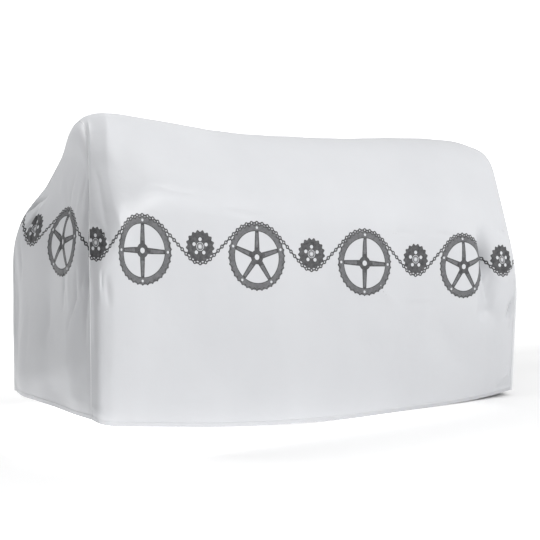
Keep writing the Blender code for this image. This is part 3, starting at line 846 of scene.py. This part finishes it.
class Nodes:
    """Adds nodes to one node tree."""

    def __init__(self, tree):
        self.tree = tree
        self.tree.nodes.clear()

    def feed(self, socket, value):
        """Set a socket to a value, or link it to an output."""
        if isinstance(value, Socket):
            self.tree.links.new(value.socket, socket)
        else:
            socket.default_value = value

    def node(self, kind, inputs=None, **settings):
        """A node of that kind: its settings are set first, then its sockets' values or links."""
        node = self.tree.nodes.new(kind)
        for name, value in settings.items():
            setattr(node, name, value)
        for name, value in (inputs or {}).items():
            self.feed(node.inputs[name], value)
        return node

    def out(self, kind, inputs=None, output=0, **settings):
        """The chosen output of such a node."""
        return Socket(self, self.node(kind, inputs, **settings).outputs[output])

    def maths(self, operation, *values):
        return self.out("ShaderNodeMath", dict(enumerate(values)), operation=operation)

    def length(self, x, y):
        return (x * x + y * y).maths("SQRT")

    def blend(self, factor, first, second):
        """The first colour where factor is 0, the second where it is 1."""
        node = self.node("ShaderNodeMix", data_type="RGBA")
        for name, value in (("Factor", factor), ("A", first), ("B", second)):
            self.feed(next(s for s in node.inputs if s.name == name and s.enabled), value)
        return Socket(self, next(s for s in node.outputs if s.enabled))

    def grey(self, value):
        return self.out("ShaderNodeCombineColor", {"Red": value, "Green": value, "Blue": value})

    def split(self, vector):
        """The three parts of a vector."""
        node = self.node("ShaderNodeSeparateXYZ", {"Vector": vector})
        return [Socket(self, output) for output in node.outputs]

    def place(self):
        """Where on the object a point lies."""
        return self.out("ShaderNodeTexCoord", output="Object")

    def noise(self, vector, kind):
        if kind.stretch:
            vector = self.out("ShaderNodeMapping", {"Vector": vector, "Scale": kind.stretch})
        return self.out("ShaderNodeTexNoise", {
            "Vector": vector, "Scale": kind.scale, "Detail": kind.detail,
            "Roughness": kind.roughness})

    def relief(self, height, strength):
        bump = {"Height": height, "Strength": strength, "Distance": 1.0}
        return self.out("ShaderNodeBump", bump)

    def surface(self, inputs):
        """Finish the tree with a surface."""
        shader = self.out("ShaderNodeBsdfPrincipled", inputs)
        self.node("ShaderNodeOutputMaterial", {"Surface": shader})


def new_material(name):
    """A material, and what adds nodes to it."""
    material = bpy.data.materials.new(name)
    material.use_nodes = True
    return material, Nodes(material.node_tree)


def rgba(colour):
    return (*colour, 1.0)


def clamped(value, most=1.0):
    return value.maths("MAXIMUM", 0.0).maths("MINIMUM", most)


def inked(outside):
    """1 where a distance out of a shape is negative, 0 where it is positive."""
    return clamped(0.5 - outside * (1 / SOFT_EDGE))


def off_whole(value):
    """How far a number is from the nearest whole one."""
    return 0.5 - abs(value % 1.0 - 0.5)


def either(first, second):
    return first.maths("MAXIMUM", second)


def both(first, second):
    return first.maths("MINIMUM", second)


def ring_shape(radius, inner, outer):
    """Distance out of a ring between two radii."""
    return abs(radius - (inner + outer) / 2) - (outer - inner) / 2


# the frieze's drawn parts, in metres of cloth
PLATE, PLATE_WAIST = 0.0052, 0.22           # a chain plate's half width, and how it narrows
PLATE_END, PIN = 0.0076, 0.0026             # radii at a joint of the chain
TOOTH = 0.0034                              # height of a tooth
BAND_OUT, BAND_IN = 0.004, 0.026            # a ring's band, in from the chain's run
OUTER_RIM, INNER_RIM = 0.006, 0.004         # widths of the band's dark rims
ARM, ARM_TAPER, ARM_FOOT = 0.0125, 0.05, 0.018
ARM_SLOT, ARM_SLOT_TAPER, ARM_SLOT_FOOT, ARM_SLOT_END = 0.0060, 0.03, 0.036, 0.010
HUB_IN, HUB_OUT = 0.010, 0.026
BOLT = 0.0048
COG_BORE, COG_EDGE = 0.008, 0.004
COG_HOLES, COG_HOLE, COG_HOLE_PLACE = 5, 0.0068, 0.026
COG_LINE_IN, COG_LINE_OUT = 0.0135, 0.0155  # a thin ring left bare round a cog's bore


def toothed(radius, angle, link, run, inner, outer):
    """Mask of a ring with a tooth for each link of the chain on its run."""
    crest = (angle * float(round(2 * pi * run / link))).maths("COSINE") * TOOTH
    return inked(ring_shape(radius - crest, inner, outer))


def draw_ring(nodes, x, y, radius, arms, link, frieze):
    """Masks of a ring's dark ink, its half tone and its bolts."""
    angle = nodes.maths("ARCTAN2", x, y)
    rim_out, rim_in = frieze.ring - BAND_OUT, frieze.ring - BAND_IN
    outer_rim = toothed(radius, angle, link, frieze.ring, rim_out - OUTER_RIM, rim_out)
    band = inked(ring_shape(radius, rim_in, rim_out))
    inner_rim = inked(ring_shape(radius, rim_in - INNER_RIM, rim_in))
    off_arm = off_whole(angle * arms / (2 * pi)) * (2 * pi) / arms
    across_arm = (off_arm.maths("MINIMUM", pi / 2)).maths("SINE") * radius
    arm = both(inked(across_arm - (ARM - radius * ARM_TAPER)),
               inked(ring_shape(radius, ARM_FOOT, rim_in)))
    slot = both(inked(across_arm - (ARM_SLOT - radius * ARM_SLOT_TAPER)),
                inked(ring_shape(radius, ARM_SLOT_FOOT, rim_in - ARM_SLOT_END)))
    bolt_radius = (rim_in + rim_out - BAND_OUT) / 2
    bolt = inked(nodes.length(across_arm, radius * off_arm.maths("COSINE") - bolt_radius) - BOLT)
    hub = inked(ring_shape(radius, HUB_IN, HUB_OUT))
    dark = either(either(outer_rim, inner_rim), either(arm * (1 - slot), hub))
    return dark, either(band, slot) * (1 - dark), bolt


def draw_cog(nodes, x, y, radius, link, frieze):
    """Mask of a cog's dark face, with round holes and a thin bare ring."""
    turn = nodes.maths("ARCTAN2", x, y * -1.0)
    face = toothed(radius, turn, link, frieze.cog, COG_BORE, frieze.cog - COG_EDGE)
    holes_a_turn = COG_HOLES / (2 * pi)
    angle = off_whole(turn * holes_a_turn + 0.5) * (1 / holes_a_turn)
    hole_x = radius * angle.maths("SINE")
    hole_y = radius * angle.maths("COSINE") - COG_HOLE_PLACE
    holes = inked(nodes.length(hole_x, hole_y) - COG_HOLE)
    return face * (1 - holes) * (1 - inked(ring_shape(radius, COG_LINE_IN, COG_LINE_OUT)))


def print_frieze(nodes, along, up, frieze, pitch):
    """Masks of the frieze's dark ink and of its half tone.

    Toothed rings and, between them, small cogs, with a chain that runs over the rings and under
    the cogs. Everything is even about each ring's and each cog's upright, so half a repeat,
    from a ring's centre to a cog's, is drawn.
    """
    half = pitch / 2
    x, y = abs((along + half) % pitch - half), up - frieze.centre
    cog_x, cog_y = x - half, y - frieze.cog_rise
    radius, cog_radius = nodes.length(x, y), nodes.length(cog_x, cog_y)
    # the chain: round the ring, straight down, and round the cog
    reach = hypot(half, frieze.cog_rise)
    lean = atan2(frieze.cog_rise, half) + acos((frieze.ring + frieze.cog) / reach)
    slope = sqrt(reach**2 - (frieze.ring + frieze.cog)**2)
    out = x * cos(lean) + y * sin(lean)
    down = x * sin(lean) - y * cos(lean)
    on_ring = down.maths("LESS_THAN", 0.0)
    on_cog = down.maths("GREATER_THAN", slope)
    between = 1 - on_ring - on_cog
    off = (on_ring * (radius - frieze.ring) + on_cog * (frieze.cog - cog_radius)
           + between * (out - frieze.ring))
    ring_angle = nodes.maths("ARCTAN2", down * -1.0, out)
    cog_angle = nodes.maths("ARCTAN2", down - slope, (frieze.ring + frieze.cog) - out)
    run = (between * down - on_ring * ring_angle * frieze.ring
           + on_cog * (cog_angle * frieze.cog + slope))
    ring_run = frieze.ring * (pi / 2 - lean)
    link = (ring_run + slope + frieze.cog * (pi / 2 - lean)) / frieze.links
    from_joint = off_whole((run + ring_run) / link) * link
    joint = nodes.length(from_joint, off)
    plate = abs(off) - (PLATE - from_joint * PLATE_WAIST)
    chain = either(inked(plate), inked(joint - PLATE_END))
    pins = inked(joint - PIN)
    # the rings have five arms and four in turn
    arms = 5 - ((along + half) / pitch).maths("FLOOR") % 2.0
    ring, toned, bolt = draw_ring(nodes, x, y, radius, arms, link, frieze)
    cog = draw_cog(nodes, cog_x, cog_y, cog_radius, link, frieze)
    dark = either(either(ring * (1 - bolt), cog), chain) * (1 - pins)
    return dark, toned * (1 - bolt) * (1 - chain)


HEM_BAND = 0.0125       # doubled cloth of the hem, up from its turn
HEM_TURN = 0.0030
WELD_LINE, WELD_HALF = 0.0100, 0.0022       # the pressed line that holds the hem
KNURL_PITCH = 0.0042
# how strongly the doubled hem shows, as a slight tone of the doubled film and painted shade: at the
# front, what the rear adds, and where it does
HEM_SHADE_FRONT, HEM_SHADE_REAR, REARWARD, REARWARD_START = 0.10, 0.55, 1.2, 0.45
INK_FULL, INK_WEAR = 1.10, 0.35
ROUGH_CLOUDS, ROUGH_INK, ROUGH_GRAIN = 0.16, 0.10, 0.05
SEAM_CRINKLES = 7.0     # one over the cloth beside a seam that is drawn in
# the film's back: how much its clouds darken and roughen it, and its crinkles' height
INSIDE_DULL, INSIDE_ROUGH, INSIDE_ROUGH_CLOUDS, INSIDE_CRINKLE = 0.88, 0.5, 0.1, 0.0020

Noise = namedtuple("Noise", "scale detail roughness stretch", defaults=(None,))
CLOUDS = Noise(3.2, 3.0, 0.55, (1.0, 1.0, 0.6))
GRAIN = Noise(420.0, 2.0, 0.60)
WEAR = Noise(60.0, 4.0, 0.70)
DRAG_LINES = Noise(3.0, 4.0, 0.60, (7.0, 7.0, 2.2))
CRINKLES = Noise(13.0, 3.0, 0.55, (1.0, 1.0, 1.6))
INSIDE_CLOUDS = Noise(4.0, 3.0, 0.50, (1.0, 1.0, 0.6))
INSIDE_CRINKLES = Noise(13.0, 3.0, 0.55)

# heights of the fine relief, and how much of it shows
Relief = namedtuple("Relief", "drag drag_at_seam crinkle grain knurl")
RELIEF = Relief(0.0010, 0.0030, 0.0012, 0.00005, 0.0002)
RELIEF_SHOWS, INSIDE_RELIEF_SHOWS = 0.6, 0.5


def film_outside(look, frieze, pitch):
    """The printed side of the film."""
    material, nodes = new_material("silver_film_outside")
    place = nodes.place()
    along, up, _ = nodes.split(nodes.out("ShaderNodeUVMap", uv_map="cloth"))
    hem, seam, fin = nodes.split(
        nodes.out("ShaderNodeAttribute", output="Vector", attribute_name="edges"))
    clouds, grain = nodes.noise(place, CLOUDS), nodes.noise(place, GRAIN)
    # the doubled hem: a slight tone of the doubled film and painted shade, darkest at its turn, where
    # the cloth faces down, and growing towards the rear
    shade_at_turn = clamped(1 - hem * (1 / HEM_TURN))
    shade_rearward = clamped(nodes.split(place)[0] * REARWARD + REARWARD_START)
    band_shade = inked(hem - HEM_BAND) * (shade_rearward * HEM_SHADE_REAR + HEM_SHADE_FRONT)
    colour = nodes.blend(clouds, rgba(look.silver), rgba(look.shade))
    colour = nodes.blend(either(shade_at_turn, band_shade), colour, rgba(look.doubled_and_shade))
    # painted light on the fins, lighter towards their tips
    colour = nodes.blend(fin, colour, rgba(look.painted_fin_light))
    dark, toned = print_frieze(nodes, along + frieze.offset, up, frieze, pitch)
    cover = clamped(INK_FULL - nodes.noise(place, WEAR) * INK_WEAR) * (1 - fin)
    colour = nodes.blend(toned * cover, colour, rgba(frieze.tone))
    colour = nodes.blend(dark * cover, colour, rgba(frieze.ink))
    roughness = ((clouds - 0.5) * ROUGH_CLOUDS + look.roughness
                 + dark * ROUGH_INK + grain * ROUGH_GRAIN)
    # drag lines: long and fine, strongest beside the seams
    beside_seam = clamped(1 - seam * SEAM_CRINKLES)
    drag = nodes.noise(place, DRAG_LINES) * (beside_seam * RELIEF.drag_at_seam + RELIEF.drag)
    crinkle = abs(nodes.noise(place, CRINKLES) - 0.5) * (2 * RELIEF.crinkle)
    in_weld = inked(abs(hem - WELD_LINE) - WELD_HALF)
    knurl = (along * (2 * pi / KNURL_PITCH)).maths("COSINE") * in_weld * RELIEF.knurl
    nodes.surface({
        "Base Color": colour, "Roughness": roughness,
        "Normal": nodes.relief(drag + crinkle + grain * RELIEF.grain + knurl, RELIEF_SHOWS),
        "Specular IOR Level": 0.55, "Sheen Weight": 0.06, "Sheen Roughness": 0.4})
    return material


def film_inside(look):
    """The plain side of the film, which faces the bicycle."""
    material, nodes = new_material("silver_film_inside")
    place = nodes.place()
    clouds = nodes.noise(place, INSIDE_CLOUDS)
    dull = [INSIDE_DULL * part for part in look.inside]
    crinkle = nodes.noise(place, INSIDE_CRINKLES) * INSIDE_CRINKLE
    nodes.surface({
        "Base Color": nodes.blend(clouds, rgba(look.inside), rgba(dull)),
        "Roughness": clouds * INSIDE_ROUGH_CLOUDS + INSIDE_ROUGH,
        "Normal": nodes.relief(crinkle, INSIDE_RELIEF_SHOWS)})
    return material


# --- operators ------------------------------------------------------------------------------
# the flat sizes of the three cuts, each the rectangle that it is cut from
Cut = namedtuple("Cut", "replaces flat")
CUTS = {
    "body_film": Cut("body_sheet", (2.46, 1.94)),
    "front_film": Cut("front_panel", (0.64, 1.10)),
    "rear_film": Cut("rear_panel", (0.70, 1.00)),
}


def cloth_area(piece):
    """Area of a piece's cloth: half of its mesh's, which has both faces."""
    return sum(face.area for face in piece.data.polygons) / 2


class COVER_OT_film(bpy.types.Operator):
    """Make the three pieces of film: the long sheet and the two end panels"""

    bl_idname = "cover.film"
    bl_label = "Film pieces"

    def execute(self, context):
        cover = context.scene.bicycle_cover
        films = cut_cover()
        sheet, front, rear = films
        round_cover = 2 * sheet.cloth[-1, 0, 0] + sum(
            panel.cloth[-1, 0, 0] - panel.cloth[0, 0, 0] for panel in (front, rear))
        outside = film_outside(cover.look, cover.frieze, round_cover / cover.frieze.repeats)
        inside = film_inside(cover.look)
        for film in films:
            piece = film.to_object([outside, inside])
            cut = CUTS[film.name]
            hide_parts(cut.replaces)
            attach(piece, BODY)
            cloth_area(piece)
        return {"FINISHED"}


def aimed(name, kind, place, target):
    """A light or camera at a place, turned to look at the target."""
    thing = bpy.data.objects.new(name, kind)
    bpy.context.scene.collection.objects.link(thing)
    thing.location = place
    thing.rotation_euler = (Vector(target) - Vector(place)).to_track_quat("-Z", "Y").to_euler()
    return thing


def soft_light(lamp, power):
    data = bpy.data.lights.new(lamp.name, "AREA")
    data.energy, data.size = power, lamp.size
    aimed(lamp.name, data, lamp.place, lamp.target)


Lamp = namedtuple("Lamp", "name size place target")
LAMPS = [
    Lamp("key", 1.6, (0.8, -4.5, 2.8), (0.0, 0.0, 0.5)),
    Lamp("top", 2.6, (0.6, -0.9, 4.4), (0.1, 0.0, 0.6)),
    Lamp("end", 0.6, (-1.75, 0.90, 2.4), (-0.82, 0.0, 1.0)),
    Lamp("side", 0.5, (-3.2, 2.2, 1.5), (-0.9, 0.0, 0.6)),
]
FLOOR_RADIUS = 150.0
FLOOR_GAP = 0.001       # from the floor up to the lowest point of the hem
HEM_GLOW_REACH = 0.16   # how far from the cover the floor's glow at the hem spreads
LIT_REACH = 2.0         # how far the lamps light the floor, so that it needs no glow of its own
# the glow at the hem: its share at the middle, its rise towards the handlebar end, and its most
HEM_GLOW_MIDDLE, HEM_GLOW_RISE, HEM_GLOW_MOST = 0.50, 0.62, 1.3
# the shadow: where it starts on the far side, how fast it deepens, and where it ends in front
SHADOW_SIDE, SHADOW_RISE, SHADOW_END = 0.4, 1.5, -1.2
# the walls' light: what turning to the rear and upwards adds to its level, and its least
WALLS_REARWARD, WALLS_UPWARD, WALLS_LEVEL, WALLS_LEAST = 0.75, 0.20, 0.67, 0.05


def floor_glow(nodes, studio):
    """Light from the floor: beside the cover, far away, and in the shadow behind the cover."""
    x, y, _ = nodes.split(nodes.place())
    off_side = [(abs(place) - half).maths("MAXIMUM", 0.0)
                for place, half in ((x, CAD_HIGH.x), (y, CAD_HIGH.y))]
    away = nodes.length(*off_side)
    by_hem = (away * away * (-1 / HEM_GLOW_REACH**2)).maths("EXPONENT")
    far_off = 1 - (away * away * (-1 / LIT_REACH**2)).maths("EXPONENT")
    to_front = clamped(HEM_GLOW_MIDDLE - x * HEM_GLOW_RISE, HEM_GLOW_MOST)
    behind = clamped(both((y - SHADOW_SIDE) * SHADOW_RISE, x - SHADOW_END))
    glow = by_hem * to_front * studio.hem_glow + far_off * studio.far_glow
    return glow + behind * studio.back_glow


def make_floor(studio):
    """A wide pale floor just under the hem."""
    mesh = bmesh.new()
    bmesh.ops.create_circle(mesh, cap_ends=True, segments=96, radius=FLOOR_RADIUS)
    bmesh.ops.translate(mesh, verts=mesh.verts, vec=(0, 0, CAD_LOW.z - FLOOR_GAP))
    data = bpy.data.meshes.new("studio_floor")
    mesh.to_mesh(data)
    mesh.free()
    material, nodes = new_material("pale_floor")
    nodes.surface({
        "Base Color": rgba(studio.floor), "Roughness": 0.9, "Specular IOR Level": 0.1,
        "Emission Color": nodes.grey(floor_glow(nodes, studio)), "Emission Strength": 1.0})
    data.materials.append(material)
    floor = bpy.data.objects.new("studio_floor", data)
    bpy.context.scene.collection.objects.link(floor)


def make_walls(studio):
    """The light of the studio's walls, brighter behind the rear end than before the front."""
    world = bpy.data.worlds.new("studio_walls")
    world.use_nodes = True
    nodes = Nodes(world.node_tree)
    x, _, z = nodes.split(nodes.out("ShaderNodeTexCoord", output="Generated"))
    level = (x * WALLS_REARWARD + z * WALLS_UPWARD + WALLS_LEVEL) * studio.sky
    colour = nodes.grey(level.maths("MAXIMUM", WALLS_LEAST))
    light = nodes.out("ShaderNodeBackground", {"Color": colour, "Strength": 1.0})
    nodes.node("ShaderNodeOutputWorld", {"Surface": light})
    bpy.context.scene.world = world
    bpy.context.scene.view_settings.view_transform = "Standard"


def make_camera():
    """The camera, at the photograph's angle."""
    lens = bpy.data.cameras.new("camera")
    lens.lens, lens.sensor_width = VIEW_LENS, VIEW_SENSOR
    lens.clip_end = 4 * FLOOR_RADIUS
    back = Vector((sin(VIEW_AZIMUTH) * cos(VIEW_ELEVATION),
                   -cos(VIEW_AZIMUTH) * cos(VIEW_ELEVATION), sin(VIEW_ELEVATION)))
    place = VIEW_TARGET + back * VIEW_DISTANCE
    bpy.context.scene.camera = aimed("camera", lens, place, VIEW_TARGET)


class COVER_OT_studio(bpy.types.Operator):
    """Make the floor, the soft lights and the camera"""

    bl_idname = "cover.studio"
    bl_label = "Studio"

    def execute(self, context):
        studio = context.scene.bicycle_cover.studio
        make_floor(studio)
        for lamp in LAMPS:
            soft_light(lamp, getattr(studio, lamp.name))
        make_walls(studio)
        make_camera()
        return {"FINISHED"}


class COVER_PT_panel(bpy.types.Panel):
    """The cover's settings and steps."""

    bl_idname = "COVER_PT_panel"
    bl_label = "Bicycle cover"
    bl_space_type = "VIEW_3D"
    bl_region_type = "UI"
    bl_category = "Bicycle cover"

    def draw(self, context):
        cover = context.scene.bicycle_cover
        for title, group in (("Film", cover.film), ("Frieze", cover.frieze),
                             ("Finish", cover.look), ("Studio", cover.studio)):
            box = self.layout.box()
            box.label(text=title)
            for name in group.bl_rna.properties.keys():
                if name not in ("rna_type", "name"):
                    box.prop(group, name)
        for step in STEPS:
            self.layout.operator(step.bl_idname)


STEPS = (COVER_OT_film, COVER_OT_studio)
CLASSES = (FilmSizes, FriezeLook, FilmLook, StudioLook, CoverSettings,
           *STEPS, COVER_PT_panel)


def register():
    for kind in CLASSES:
        bpy.utils.register_class(kind)
    bpy.types.Scene.bicycle_cover = PointerProperty(type=CoverSettings)


def unregister():
    del bpy.types.Scene.bicycle_cover
    for kind in reversed(CLASSES):
        bpy.utils.unregister_class(kind)


def main():
    register()
    bpy.ops.cover.film()
    bpy.ops.cover.studio()


if __name__ == "__main__":
    main()
